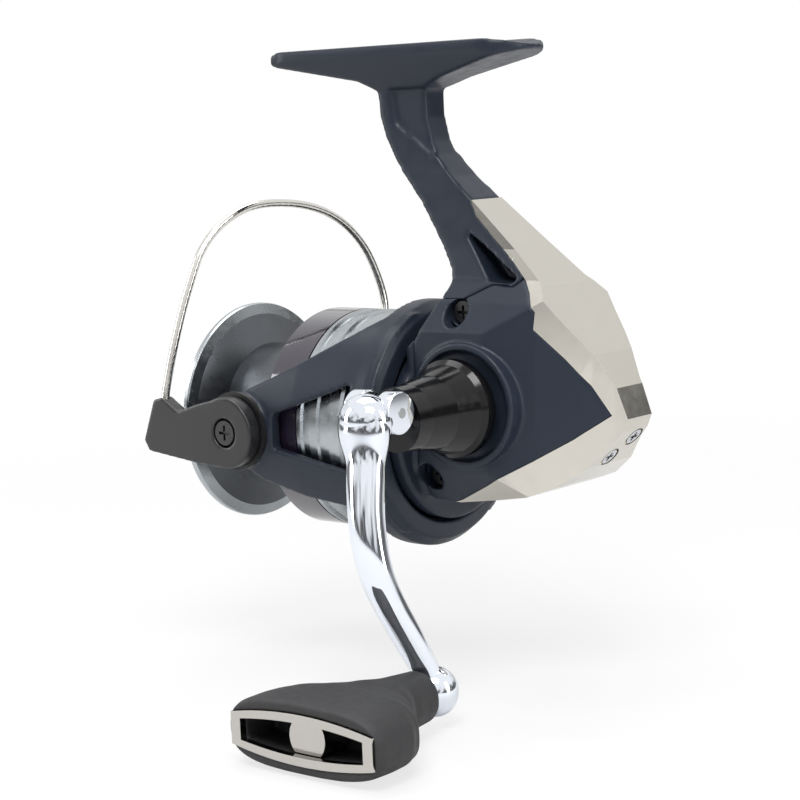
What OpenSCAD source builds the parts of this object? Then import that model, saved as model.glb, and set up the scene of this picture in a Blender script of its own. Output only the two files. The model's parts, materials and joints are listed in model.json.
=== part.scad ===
// Spinning reel with a folding handle, front drag and a wire bail.
// Frame: +X points to the spool's front, +Y to the handle side, +Z to the foot.
// The origin is the centre of the foot's top, midway between its two tips.

/* [Foot and stem] */
// Length of the foot along the rod
foot_length = 68; // [56:1:82]
// Width of the foot
foot_width = 17.5; // [15:0.5:21]
// Thickness of the foot at its tips
foot_tip = 2.6; // [2.2:0.1:3.4]
// Depth of the hollow along the foot's top
foot_hollow = 1.6; // [1:0.1:1.8]
// Drop from the foot's top to the spool axis
axis_drop = 79; // [74:1:86]

/* [Gear case] */
// Distance of the handle axis behind the foot's middle
handle_back = 25; // [23:0.5:27]
// Rise of the handle axis above the spool axis
handle_rise = 6.5; // [6.3:0.1:6.7]
// Half width of the gear case
case_half = 15.5; // [14.5:0.5:18]
// Wall of the gear case
case_wall = 2.4; // [2:0.1:2.6]
// Thickness of the rear guard
guard_wall = 1.2; // [0.9:0.1:1.4]

/* [Gears] */
// Pitch radius of the pinion
pinion_pitch = 3.3; // [3.2:0.05:3.4]
// Outer radius of the drive gear
drive_radius = 13.2; // [12.8:0.1:13.3]
// Radius of the main shaft
shaft_radius = 2; // [1.8:0.05:2.1]

/* [Rotor and spool] */
// Outer radius of the spool skirt
skirt_radius = 23.5; // [22.5:0.25:25]
// Outer radius of the spool lip
lip_radius = 24; // [22.5:0.25:26]
// Radius of the spool arbor
arbor_radius = 15.2; // [14.5:0.25:18]
// Length of the arbor between its flanges
arbor_length = 18.3; // [15:0.5:22]
// Gap between the skirt and what is around it
skirt_gap = 0.6; // [0.4:0.1:1]
// Thickness of the rotor's arms
arm_wall = 2.6; // [2:0.1:3]

/* [Bail] */
// Radius of the bail wire
wire_radius = 0.9; // [0.7:0.05:1.1]
// Radius of the line roller
roller_radius = 3.4; // [2.8:0.1:4]

/* [Handle] */
// Distance from the handle axis to the knob axis
crank_radius = 52; // [42:1:62]
// Lean of the crank behind the vertical, in degrees
crank_lean = 10.5; // [0:0.5:20]
// Length of the knob's paddle
knob_length = 36; // [28:1:44]
// Height of the knob's paddle
knob_height = 13.5; // [11:0.5:16]

/* [Hidden] */
$fn = 64;

// Fits and gaps
running = 0.05;     // radial clearance of a turning fit
loose = 0.3;        // gap between parts that pass each other
cut = 1;            // how far a cutting solid reaches past the face it opens
beyond = 60;        // longer than anything it cuts through
wide = 25;          // outside the case on either side

// Axes
axis_z = -axis_drop;
handle_x = -handle_back;
handle_z = axis_z + handle_rise;

// Gear case
front_x = -9;                         // front plane of the gear case
seam_y = 2;                           // plane between the frame and the side cover
neck_radius = 11.5;
neck_front = 2.4;
boss_radius = 12.6;
boss_rise = 1.5;                      // how far the handle bosses stand out
boss_recess = 11.1;
pocket_web = 1.2;                     // half the web left between the stem's two pockets
cover_screw_at = [[-21.7, axis_z + 24.6], [-14.5, axis_z - 8.8]];
cover_screw_head = 9;                 // level under the screw heads
screw_shank = 1.2;
screw_head = 2.3;
screw_room = 0.5;                     // gap round a screw's head
post_wall = 1.3;
guard_screw_depth = 2;

// Drive train
drive_teeth = 38;
pinion_teeth = 8;
axle_radius = 3.5;
rod_radius = 2.1;                     // round of the handle shaft
bearing_radius = 5.5;
bearing_width = 4;
bearing_inner = 10.2;                 // where the drive bearings begin, from the middle
tooth_reach = 0.45;                   // addendum and dedendum of the pinion
gear_face = pinion_pitch - 0.35;      // distance of the drive gear's tooth tips
gear_tooth = 1.25;
gear_disc = 2.5;
drive_pitch = 11.6;
mesh_reach = sqrt(pow(drive_pitch, 2) - pow(handle_rise, 2));
helix_tan = (pinion_pitch * drive_teeth / pinion_teeth - mesh_reach) / handle_rise;
tooth_skew = atan(helix_tan) - atan(handle_rise / mesh_reach);
mesh_turn = 24;                       // turn that sets the pinion in mesh at rest
pinion_back = -19;
pinion_teeth_front = -9.4;
pinion_front = 11.8;
neck_fit = 3.5;                       // radius of the pinion in its bearing and clutch
osc_small = 17;                       // teeth of the oscillation pair
osc_large = 26;
osc_module = 0.62;
osc_x = handle_x - 13;
osc_z = handle_z - 3;
osc_level = 4;                        // inner face of the oscillation gears
osc_width = 2;
osc_stub = 1.6;                       // radius of the oscillation gear's stub
osc_stub_end = 8.9;
osc_boss = osc_level + osc_width + loose;
osc_pin = 6;                          // eccentricity of the driving pin
stroke = 6;                           // travel of the spool each way
slider_half = 2.6;
slider_face = 3.4;
guide_z = axis_z + 13;
guide_radius = 0.9;
guide_half = 2.2;                     // half width of the guide rod's seats
guide_back = -49;
guide_front = -27.2;

// Pinion bearing, clutch and rotor seat along the axis
pinion_bearing_x = -8.6;
pinion_bearing_r = 6.5;
clutch_x = -4.4;
clutch_length = 6.6;
clutch_radius = 9.3;
retainer_thick = 0.8;
rotor_web = 4;
rotor_web_thick = 2.6;

// Rotor
drum_radius = skirt_radius - 1.4 - skirt_gap;
drum_wall = 1.4;
drum_back = -7.6;
rim_back = -9.4;
rim_opening = drum_radius - 0.8;
rim_radius = skirt_radius + 2.5;
flange_radius = rim_opening - 0.8;    // front flange of the gear case, inside the rim
arm_inner = skirt_radius + skirt_gap + 0.3;
pivot_x = 26.5;
arm_face = arm_inner + arm_wall + 0.3;          // outer face of the pivot bosses
pivot_boss = 8;
pivot_radius = 1.6;

// Spool
skirt_back = 1.3;
arbor_back = 23;
arbor_front = arbor_back + arbor_length;
lip_front = arbor_front + 4.9;
skirt_wall = 1.4;
drag_radius = 11.4;
hub_radius = 4.4;
hub_back = 20;
web_x = 30;
web_thick = 2.4;

// Drag stack, from the web to the front
felt_thick = 1;
metal_thick = 0.8;
stack_x = web_x + web_thick;
stack_pitch = felt_thick + metal_thick;
stack_front = stack_x + 3 * stack_pitch;
clip_thick = 0.7;
plate_thick = 1.4;
plate_x = stack_front + clip_thick + 0.5;
knob_x = plate_x + plate_thick + 0.1;
knob_depth = 9.5;
cap_radius = 11.6;

// Bail
lever_in = arm_face + 1.1;
lever_out = lever_in + 3.2;
lever_round = 7.5;
roller_at = [pivot_x + 4.2, axis_z + 11.5];     // x and z of the line roller's axis
roller_in = arm_inner + 2.1;
roller_out = roller_in + 2.7;
roller_arm = 2.1;                               // thickness of the arm behind the roller
cap_in = lip_radius + loose;
cap_round = 3.4;
cap_floor = 0.6;
roller_axle = 1.1;
arm_play = 0.2;                                 // gap between the roller and its arm
wire_x = pivot_x + 18.3;                        // where the wire stands in the lever
wire_y = lever_in + 1.5;
wire_end_y = -(cap_in + roller_in) / 2;
// Bends of the wire: x and z from the bail's pivot axis, y as a share of wire_y
wire_bends = [[18.2, 0.96, 11.4], [17.8, 0.896, 18], [17.3, 0.816, 25], [16.7, 0.732, 31.2],
    [16.1, 0.639, 37], [15.1, 0.488, 41.8], [13.8, 0.298, 45], [12.7, 0.12, 46.2],
    [11.4, -0.084, 46.2], [10, -0.288, 45.3], [8.7, -0.482, 43.3], [7.6, -0.659, 39.9],
    [6.6, -0.803, 35.1], [6, -0.903, 29.5], [5.5, -0.967, 23.6], [5, -0.957, 19.4]];
wire_points = concat([[wire_x, wire_y, axis_z + 2], [wire_x, wire_y, axis_z + 4.5],
    [wire_x, wire_y, axis_z + 7]], [for (q = wire_bends) [pivot_x + q[0], q[1] * wire_y, axis_z + q[2]]],
    [[roller_at[0], wire_end_y - 0.6, roller_at[1] + 5.2],
    [roller_at[0], wire_end_y, roller_at[1] + 3.4], [roller_at[0], wire_end_y, roller_at[1] + 1.6]]);

// Handle
fold_y = 42;
fold_z = handle_z + 2.3;
tongue = 1.7;                                    // half thickness of the shaft's tongue
collar_base = case_half + boss_rise + 0.4;
collar_tip = 37.5;
hub_half = 5.6;
knob_dir = [-sin(crank_lean), 0, -cos(crank_lean)];
knob_centre = [handle_x, 0, handle_z] + crank_radius * knob_dir;
ball_y = 40.5;
ball_radius = 4.9;
neck_y = ball_y + 4.6;                           // where the knob's neck begins
paddle_y = ball_y + 38;
post_radius = 2;
post_cap_radius = 4.2;
knob_neck = 5.1;
bezel_height = 9.4;
bezel_end = 6;
bezel_thick = 1.2;
// Half width and half height of the knob as shares of its full size, by distance from the neck
knob_flare = [[0.21, 0], [0.26, 4], [0.29, 9], [0.36, 14], [0.5, 18.5], [0.72, 22.5], [0.92, 25.5],
    [1, 28], [1, 31.4], [0.95, paddle_y - neck_y]];
knob_rise = [[0.6, 0], [0.72, 6], [0.84, 14], [0.96, 22], [1, 27], [0.97, 31.4],
    [0.9, paddle_y - neck_y]];

// Outlines in the side view, x then z measured from the foot's top
stem_shift = axis_z + 79;
body_outline = [[4, -5], [-8.2, -5], [-8.3, -15], [-9.5, -20], [-11, -22.8], [-15, -27.4],
    [-23, -34.2 + stem_shift], [-33, -42.8 + stem_shift], [-40, -49.2 + stem_shift],
    [-44.5, axis_z + 23.8], [-50.3, axis_z + 16.6], [-54, axis_z + 10],
    [-56.2, axis_z + 4], [-55, axis_z + 1.4], [-48.9, axis_z - 5.6], [-43, axis_z - 9.6],
    [-37.3, axis_z - 11.6], [-30, axis_z - 12.8], [-20, axis_z - 14.2],
    [-13, axis_z - 14], [front_x, axis_z - 11], [front_x, axis_z + 16.7],
    [-13.3, axis_z + 20], [-16.5, axis_z + 27.4], [-17, axis_z + 29.7],
    [-16.6, axis_z + 32.7], [-14.8, axis_z + 35.7], [-11.7, axis_z + 40.4],
    [-7.5, -32.6], [-2.7, -27], [-0.4, -23.9], [2, -19.2], [3.4, -14.6]];
// Boundary between the painted case and the rear guard, closed behind the case
guard_region = [[-20.4, axis_z + 46.8], [-22, axis_z + 43.6], [-27, axis_z + 39],
    [-31.8, axis_z + 34.8], [-37.8, axis_z + 28.8], [-40.4, axis_z + 25.2],
    [-40, axis_z + 21.8], [-45.4, axis_z + 16], [-49.8, axis_z + 10.6],
    [-53, axis_z + 4.6], [-46.5, axis_z], [-39.3, axis_z - 4.2], [-29, axis_z - 9.6],
    [-20.5, axis_z - 13.6], [-12, axis_z - 16], [-60, axis_z - 20], [-60, axis_z + 46.8]];
cover_region = [[-12.4, axis_z - 18], [-12.4, axis_z + 18.7], [-16.5, axis_z + 27.4],
    [-22.5, axis_z + 27.4], [-28, axis_z + 30.1], [-33, axis_z + 29.7],
    [-36, axis_z + 32.3], [-60, axis_z + 32.3], [-60, axis_z - 18]];
pocket_outline = [[-18.5, axis_z + 41.5], [-26.5, axis_z + 30.8], [-31.5, axis_z + 30.2],
    [-33.5, axis_z + 31.2]];
plan_half = [[9, case_half], [-30, case_half], [-40, case_half - 3.3],
    [-48, case_half - 7.3], [-53.5, 4.6], [-57, 4.2]];
front_half = [[4.3, -4], [4.3, -25], [5.3, axis_z + 45], [6.5, axis_z + 37],
    [8, axis_z + 31], [12, axis_z + 26.5], [case_half, axis_z + 21],
    [case_half, axis_z - 7], [case_half - 4.5, axis_z - 14.5]];
arm_outline = [[pivot_x, 8], [18.8, 11.2], [10.5, 15.2], [2, 20.1], [-3, 23.6], [-8, 24],
    [-8, -21], [-5.4, -19.4], [1.7, -15.2], [11.4, -13.7], [22.4, -10.5], [pivot_x, -8]];
arm_window = [[17.2, 3.8], [-2.2, 10.6], [-2.4, -7.4], [17.2, -3.4]];
lever_outline = [[24, -2.9], [22.6, -5.2], [8.6, -6.9], [0, -7.5], [0, 7.5], [8, 5.6],
    [13.6, 3.8], [15.8, 5.2], [18, 6.6], [20.5, 6]];

// Moves every edge of a counter-clockwise outline inwards
function unit(v) = v / norm(v);
function inset(p, d) = let (n = len(p)) [for (i = [0:n - 1])
    let (u = unit(p[i] - p[(i + n - 1) % n]), v = unit(p[(i + 1) % n] - p[i]),
        a = [-u[1], u[0]], b = [-v[1], v[0]]) p[i] + (a + b) * d / (1 + a * b)];
function both_sides(p) = concat(p, [for (i = [len(p) - 1:-1:0]) [-p[i][0], p[i][1]]]);
function mirrored_half(p) = concat([for (q = p) [q[0], q[1]]],
    [for (i = [len(p) - 1:-1:0]) [p[i][0], -p[i][1]]]);
function gear_points(n, root, tip, root_share, tip_share) = [for (i = [0:n - 1])
    for (s = [[-root_share, root], [-tip_share, tip], [tip_share, tip], [root_share, root]])
    let (a = 360 / n * (i + s[0] / 2)) s[1] * [cos(a), sin(a)]];

// Smooth curve through a list of points, and a tube along it
function spline_at(a, b, c, d, t) = (2 * b + (c - a) * t + (2 * a - 5 * b + 4 * c - d) * t * t
    + (3 * b - a - 3 * c + d) * t * t * t) / 2;
function smooth(p, steps) = let (n = len(p)) concat([for (i = [0:n - 2]) for (s = [0:steps - 1])
    spline_at(p[max(i - 1, 0)], p[i], p[i + 1], p[min(i + 2, n - 1)], s / steps)], [p[n - 1]]);
function tangent(p, i) = unit(p[min(i + 1, len(p) - 1)] - p[max(i - 1, 0)]);
function ring_at(c, t, side, wide, deep, sides) = let (u = unit(cross(t, side)), v = cross(u, t))
    [for (k = [0:sides - 1]) c + u * deep * cos(360 * k / sides) + v * wide * sin(360 * k / sides)];

module tube(path, side, wide, deep, sides) {
    n = len(path);
    rings = [for (i = [0:n - 1])
        each ring_at(path[i], tangent(path, i), side, wide[min(i, len(wide) - 1)],
            deep[min(i, len(deep) - 1)], sides)];
    walls = [for (i = [0:n - 2]) for (k = [0:sides - 1])
        let (a = i * sides + k, b = i * sides + (k + 1) % sides)
        each [[a, b, b + sides], [a, b + sides, a + sides]]];
    back = [for (k = [sides - 1:-1:0]) k];
    front = [for (k = [0:sides - 1]) (n - 1) * sides + k];
    polyhedron(rings, concat([back], walls, [front]), convexity = 4);
}

// Placing helpers: local +Z becomes +X on the spool axis, or +Y at a side-view point
module on_axis(x) translate([x, 0, axis_z]) rotate([0, 90, 0]) children();
module across(x, y, z) translate([x, y, z]) rotate([-90, 0, 0]) children();
module side_slab(outline, from, to) translate([0, to, 0]) rotate([90, 0, 0])
    linear_extrude(to - from) polygon(outline);
module ring(inner, outer, height) difference() {
    cylinder(r = outer, h = height);
    translate([0, 0, -cut]) cylinder(r = inner, h = height + 2 * cut);
}
module turned(x, profile) on_axis(x) rotate_extrude() polygon(profile);

// The reel body's outer form, moved inwards by d
module body_form(d) intersection() {
    side_slab(inset(body_outline, d), -wide, wide);
    translate([0, 0, axis_z - 20]) linear_extrude(axis_drop + 20)
        polygon(inset(mirrored_half([for (i = [len(plan_half) - 1:-1:0])
            [plan_half[i][0], -plan_half[i][1]]]), d));
    rotate([90, 0, 90]) translate([0, 0, -60]) linear_extrude(75)
        polygon(inset(concat([for (q = front_half) [-q[0], q[1]]],
            [for (i = [len(front_half) - 1:-1:0]) front_half[i]]), d));
}

module gear_space() intersection() {
    body_form(case_wall);
    translate([-60, -25, axis_z - 20]) cube([60, 50, 46 - case_wall]);
}

module frame_solid() {
    body_form(guard_wall);
    difference() {
        body_form(0);
        side_slab(guard_region, -wide, wide);
    }
}

module handle_bosses() for (side = [-1, 1])
    across(handle_x, side > 0 ? case_half - 3 : -case_half - boss_rise, handle_z)
        cylinder(r = boss_radius, h = 3 + boss_rise);

module handle_openings() {
    across(handle_x, -case_half - boss_rise - cut, handle_z)
        cylinder(r = boss_recess, h = boss_rise + cut);
    across(handle_x, case_half, handle_z) cylinder(r = boss_recess, h = boss_rise + cut);
    across(handle_x, -wide, handle_z) cylinder(r = axle_radius + 0.7, h = beyond);
    for (side = [-1, 1])
        across(handle_x, side > 0 ? 0 : -bearing_inner - bearing_width, handle_z)
            cylinder(r = bearing_radius, h = bearing_inner + bearing_width);
}

module bearing_bosses() for (side = [-1, 1])
    across(handle_x, side > 0 ? bearing_inner : -case_half, handle_z)
        cylinder(r = bearing_radius + 1.6, h = case_half - bearing_inner);

module case_split(keep) {
    if (keep == "cover") intersection() {
        children();
        side_slab(cover_region, seam_y, wide);
    }
    else difference() {
        children();
        side_slab(cover_region, seam_y, wide);
    }
}

module screw_posts() intersection() {
    for (at = cover_screw_at) across(at[0], -case_half, at[1])
        cylinder(r = screw_head + post_wall, h = case_half + cover_screw_head + 2);
    body_form(0);
}

module screw_holes() for (at = cover_screw_at) {
    across(at[0], -5, at[1]) cylinder(r = screw_shank, h = cover_screw_head + 5 + cut);
    across(at[0], cover_screw_head, at[1]) cylinder(r = screw_head + screw_room, h = wide);
}

module case_shell() difference() {
    union() {
        difference() {
            union() {
                frame_solid();
                handle_bosses();
            }
            gear_space();
        }
        intersection() {
            union() {
                bearing_bosses();
                screw_posts();
                across(osc_x, osc_boss, osc_z) cylinder(r = osc_stub * 2, h = case_half);
            }
            body_form(0);
        }
    }
    handle_openings();
    screw_holes();
    across(osc_x, 0, osc_z) cylinder(r = osc_stub + running, h = osc_stub_end + loose);
    guard_screw_places() cylinder(r = screw_shank, h = 20, center = true);
    on_axis(rim_back - 0.8) ring(flange_radius, rim_radius + 10, beyond);
    for (side = [-1, 1]) side_slab(pocket_outline, side > 0 ? pocket_web : -wide,
            side > 0 ? wide : -pocket_web);
}

module foot() difference() {
    intersection() {
        side_slab([[-foot_length / 2, 0], [-foot_length / 2, -foot_tip], [-14, -7.4],
            [-8.2, -9.5], [4, -9.5], [8, -7.4], [foot_length / 2, -foot_tip],
            [foot_length / 2, 0]], -foot_width / 2, foot_width / 2);
        translate([0, 0, -20]) linear_extrude(20) union() {
            square([foot_length - foot_width, foot_width], center = true);
            for (side = [-1, 1]) translate([side * (foot_length - foot_width) / 2, 0])
                circle(d = foot_width);
        }
        rotate([90, 0, 90]) translate([0, 0, -foot_length]) linear_extrude(2 * foot_length)
            polygon([[-foot_width / 2, 0], [-foot_width / 2, -foot_tip], [-4.3, -9.5],
                [4.3, -9.5], [foot_width / 2, -foot_tip], [foot_width / 2, 0]]);
    }
    hollow_r = (pow(foot_width / 2, 2) + pow(foot_hollow, 2)) / (2 * foot_hollow);
    translate([-foot_length, 0, hollow_r - foot_hollow]) rotate([0, 90, 0])
        cylinder(r = hollow_r, h = 2 * foot_length, $fn = 128);
}

module body_frame() color("#323a46") {
    difference() {
        union() {
            case_split("frame") case_shell();
            on_axis(front_x - case_wall) cylinder(r = flange_radius, h = case_wall + 1);
            on_axis(front_x) cylinder(r = neck_radius, h = neck_front - front_x);
            foot();
        }
        on_axis(-beyond) cylinder(r = neck_fit + 1.2, h = beyond);
        on_axis(pinion_bearing_x) cylinder(r = pinion_bearing_r, h = beyond);
        on_axis(clutch_x) cylinder(r = clutch_radius, h = beyond);
        for (a = [60:120:300]) on_axis(neck_front - 4)
            rotate([0, 0, a]) translate([clutch_radius + 1.1, 0, 0]) cylinder(r = 0.7, h = 5);
        side_slab(cover_region, seam_y, wide);
    }
    guide_seat();
}

module guide_seat() difference() {
    intersection() {
        union() {
            translate([-29, -guide_half, guide_z - guide_half])
                cube([2, guide_half + seam_y, axis_z + 25 - guide_z + guide_half]);
            intersection() {
                translate([-60, -20, guide_z - guide_half]) cube([11.2, 20 + seam_y, 2 * guide_half]);
                gear_space();
            }
        }
        body_form(guard_wall);
    }
    translate([-60, 0, guide_z]) rotate([0, 90, 0]) cylinder(r = guide_radius, h = 40);
}

module side_cover() color("#363e4b") case_split("cover") case_shell();

module rear_guard() color("#d9d6cc") difference() {
    intersection() {
        body_form(0);
        side_slab(guard_region, -wide, wide);
    }
    body_form(guard_wall);
    guard_screw_places() cylinder(r = screw_shank + 0.1, h = 20, center = true);
    guard_screw_places() translate([0, 0, guard_wall / 2]) cylinder(r = 2, h = 5);
}

// Local +Z points out of the guard's lower rear face
module guard_screw_places() for (at = [[-50.1, 1.9, -4.1], [-53.4, -1.9, -0.4]])
    translate([at[0], at[1], axis_z + at[2]]) rotate([0, -131, 0]) children();

module cover_screws() color("#1a1a1c") for (at = cover_screw_at) {
    across(at[0], cover_screw_head - 11, at[1]) cylinder(r = screw_shank, h = 11);
    across(at[0], cover_screw_head, at[1]) screw_top(screw_head, 1.6);
}

module screw_top(radius, height) difference() {
    cylinder(r = radius, h = height);
    translate([0, 0, height * 0.4]) for (a = [0, 90]) rotate([0, 0, a])
        translate([-radius * 0.6, -0.3, 0]) cube([radius * 1.2, 0.6, 2]);
}

module guard_screws() color("#8c8c8c") guard_screw_places() {
    translate([0, 0, -guard_screw_depth]) cylinder(r = screw_shank,
        h = guard_screw_depth + guard_wall / 2);
    translate([0, 0, guard_wall / 2]) screw_top(1.9, 0.9);
}

module drive_bearings() color("silver") for (side = [-1, 1])
    across(handle_x, side > 0 ? bearing_inner : -bearing_inner - bearing_width, handle_z)
        ring(axle_radius + running, bearing_radius, bearing_width);

module pinion_bearing() color("silver") on_axis(pinion_bearing_x)
    ring(neck_fit + running, pinion_bearing_r, clutch_x - pinion_bearing_x);

module roller_clutch() color("#b08d4a") on_axis(clutch_x)
    ring(neck_fit + 1 + running, clutch_radius, clutch_length);

module clutch_sleeve() color("silver") on_axis(clutch_x)
    ring(neck_fit, neck_fit + 1, clutch_length);

module clutch_retainer() color("gray") on_axis(neck_front) difference() {
    ring(neck_fit + 1.6, neck_radius - 0.2, retainer_thick);
    for (a = [60:120:300]) rotate([0, 0, a]) translate([clutch_radius + 1.1, 0, -cut])
        cylinder(r = 0.75, h = 4);
}

module retainer_screws() color("silver") for (a = [60:120:300]) on_axis(neck_front)
    rotate([0, 0, a]) translate([clutch_radius + 1.1, 0, 0]) {
        translate([0, 0, -3.6]) cylinder(r = 0.7, h = 3.6 + retainer_thick);
        translate([0, 0, retainer_thick]) cylinder(r = 0.95, h = 0.5);
    }

module slider_guide() color("silver") translate([guide_back, 0, guide_z]) rotate([0, 90, 0])
    cylinder(r = guide_radius, h = guide_front - guide_back);

module drive_gear() color("#a9adb3") difference() {
    union() {
        across(handle_x, -gear_face - gear_tooth - gear_disc, handle_z)
            cylinder(r = drive_radius, h = gear_disc);
        across(handle_x, -bearing_inner - bearing_width, handle_z)
            cylinder(r = axle_radius, h = 2 * (bearing_inner + bearing_width));
        across(handle_x, osc_level, handle_z) linear_extrude(osc_width)
            polygon(gear_points(osc_small, osc_module * (osc_small / 2 - 1.1),
                osc_module * (osc_small / 2 + 0.75), 0.52, 0.2));
        across(handle_x, -gear_face - gear_tooth, handle_z) for (i = [0:drive_teeth - 1])
            rotate([0, 0, 360 / drive_teeth * i]) translate([drive_pitch, 0, 0])
                rotate([0, 0, tooth_skew]) translate([-1.45, 0, 0])
                    linear_extrude(gear_tooth) polygon([[0, -0.3], [2.9, -0.36],
                        [2.9, 0.36], [0, 0.3]]);
    }
    across(handle_x, -20, handle_z) cylinder(r = rod_radius + running, h = 40);
}

module handle_shaft() color("silver") difference() {
    union() {
        across(handle_x, -case_half - 5, handle_z) cylinder(r = rod_radius,
            h = case_half + 5 + collar_tip);
        translate([handle_x - tongue, collar_tip, handle_z - rod_radius])
            cube([2 * tongue, fold_y - collar_tip, fold_z - handle_z + rod_radius]);
        translate([handle_x - tongue, fold_y, fold_z]) rotate([0, 90, 0])
            cylinder(r = 3, h = 2 * tongue);
    }
    translate([handle_x - 5, fold_y, fold_z]) rotate([0, 90, 0])
        cylinder(r = 1 + running, h = 10);
}

module handle_collar() color("#0d0d0e") difference() {
    across(handle_x, 0, handle_z) rotate_extrude() polygon([[rod_radius + running, collar_base],
        [9.1, collar_base], [9.8, collar_base + 1.2], [9.8, collar_base + 3.2],
        [8.9, collar_base + 4.2], [7.4, collar_base + 9.5], [6.5, collar_tip - 4],
        [6.3, collar_tip], [rod_radius + running, collar_tip]]);
    translate([handle_x - tongue, collar_tip - 0.2, handle_z - 1])
        cube([2 * tongue, 1, 2]);
}

module handle_cap() color("#2b323d") across(handle_x, -case_half - boss_rise - 8.4, handle_z)
    difference() {
        rotate_extrude() polygon([[0, 0], [8.6, 0], [10.2, 1.2], [10.6, 7], [9.6, 8],
            [0, 8]]);
        translate([0, 0, 8 - 3.3]) cylinder(r = rod_radius, h = 5);
    }

module oscillating_gear() color("#c9a86a") {
    across(osc_x, osc_level, osc_z) {
        rotate([0, 0, 180 / osc_large]) linear_extrude(osc_width)
            polygon(gear_points(osc_large, osc_module * (osc_large / 2 - 1.1),
                osc_module * (osc_large / 2 + 0.75), 0.52, 0.2));
        translate([0, 0, osc_width]) cylinder(r = osc_stub, h = osc_stub_end - osc_level - osc_width);
    }
    across(osc_x + osc_pin, slider_face + loose, osc_z)
        cylinder(r = 1.2, h = osc_level - slider_face - loose);
}

module main_shaft() color("silver") on_axis(osc_x - slider_half - 1)
    cylinder(r = shaft_radius, h = knob_x + knob_depth - 2 - osc_x + slider_half + 1);

module slider_block() color("#c7c2b4") difference() {
    translate([osc_x - slider_half, -2.4, axis_z - 4]) cube([2 * slider_half,
        slider_face + 2.4, guide_z - axis_z + 6]);
    on_axis(osc_x - 10) cylinder(r = shaft_radius, h = 20);
    translate([osc_x - 10, 0, guide_z]) rotate([0, 90, 0])
        cylinder(r = guide_radius + running, h = 20);
    translate([osc_x - 1.3, slider_face - 1, osc_z - osc_pin - 1.4])
        cube([2.6, 2, 2 * osc_pin + 2.8]);
    translate([osc_x, 0, axis_z - 6]) cylinder(r = 1, h = 6);
}

module slider_screw() color("silver") translate([osc_x, 0, axis_z - 4]) {
    cylinder(r = 1, h = 4 - shaft_radius - running);
    translate([0, 0, -0.7]) cylinder(r = 1.4, h = 0.7);
}

module pinion_gear() color("#c8a45c") difference() {
    union() {
        on_axis(pinion_back) rotate([0, 0, mesh_turn]) linear_extrude(height = pinion_teeth_front
            - pinion_back, twist = -360 * (pinion_teeth_front - pinion_back) * helix_tan
            / (2 * PI * pinion_pitch), slices = 20) polygon(gear_points(pinion_teeth,
            pinion_pitch - tooth_reach, pinion_pitch + tooth_reach, 0.5, 0.22));
        on_axis(pinion_teeth_front - loose) cylinder(r = neck_fit,
            h = rotor_web - pinion_teeth_front + loose);
        on_axis(rotor_web) cylinder(r = neck_fit - 0.4, h = pinion_front - rotor_web);
    }
    on_axis(-beyond) cylinder(r = shaft_radius + running, h = 2 * beyond);
}

module arm_shell(inner, outer) on_axis(-8) rotate_extrude() polygon([[inner, 0], [outer - 1.4, 0],
    [outer - 0.7, 8], [outer, 20], [outer, 60], [inner, 60]]);

module rotor_arm(side) intersection() {
    arm_shell(arm_inner, arm_inner + arm_wall);
    side_slab([for (q = arm_outline) q + [0, axis_z]], side > 0 ? 0 : -40, side > 0 ? 40 : 0);
}

module rotor_rim() turned(0, [[rim_opening, rim_back], [rim_radius - 1.8, rim_back + 0.5],
    [rim_radius, -6.4], [rim_radius, -2.4], [arm_inner, -2.4], [arm_inner, drum_back],
    [rim_opening, drum_back]]);

module rotor_drum() turned(0, [[drum_radius, drum_back - 0.8], [drum_radius, rotor_web
    + rotor_web_thick], [neck_fit - 0.4, rotor_web + rotor_web_thick],
    [neck_fit - 0.4, rotor_web], [drum_radius - drum_wall, rotor_web],
    [drum_radius - drum_wall, drum_back], [rim_opening, drum_back - 0.8]]);

module rotor() color("#323a46") difference() {
    union() {
        difference() {
            union() {
                for (side = [-1, 1]) {
                    rotor_arm(side);
                    across(pivot_x, side > 0 ? arm_inner - 1.6 : -arm_face, axis_z)
                        cylinder(r = pivot_boss, h = arm_face - arm_inner + 1.6);
                }
                rotor_rim();
            }
            side_slab([for (q = arm_window) q + [0, axis_z]], 18, 40);
            on_axis(drum_back) cylinder(r = arm_inner, h = 2 * beyond);
        }
        rotor_drum();
    }
    across(pivot_x, -beyond, axis_z) cylinder(r = pivot_radius, h = 2 * beyond);
    spring_room();
    outward(-1, 5, arm_inner - 6.4, axis_z + 5.4) cylinder(r = 0.7, h = 12);
}

// Shallow bed for the bail spring in the far arm, under its cover
spring_z = axis_z - 2;
module spring_room() translate([4, -40, spring_z - 2.2]) cube([15.5, 40 - arm_inner - 0.9, 4.4]);

module rotor_nut() color("silver") on_axis(rotor_web + rotor_web_thick) difference() {
    cylinder(r = 5.8, h = 3, $fn = 6);
    translate([0, 0, -cut]) cylinder(r = neck_fit - 0.4, h = 6);
}

module pivot_washers() color("#141414") for (side = [-1, 1])
    across(pivot_x, side > 0 ? arm_face : -arm_face - 0.8, axis_z)
        ring(pivot_radius, pivot_boss + 0.3, 0.8);

// Local +Z points outwards on the near side (side = 1) or the far side (side = -1)
module outward(side, x, y, z) translate([x, side * y, z]) rotate([side > 0 ? -90 : 90, 0, 0])
    children();

module pivot_screws() color("#242424") for (side = [-1, 1]) outward(side, pivot_x, 0, axis_z) {
    translate([0, 0, arm_inner + 0.3]) cylinder(r = pivot_radius, h = lever_out - 1.6 - arm_inner);
    translate([0, 0, lever_out - 1.3]) screw_top(2.6, 1.1);
}

module bail_spring() color("silver") tube(
    [for (i = [0:84]) [5.5 + 12.5 * i / 84, -arm_inner - 1.76 + 0.5 * sin(i * 360 / 12),
        spring_z + 1.7 * cos(i * 360 / 12)]], [1, 0, 0], [0.22], [0.22], 6);

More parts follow.
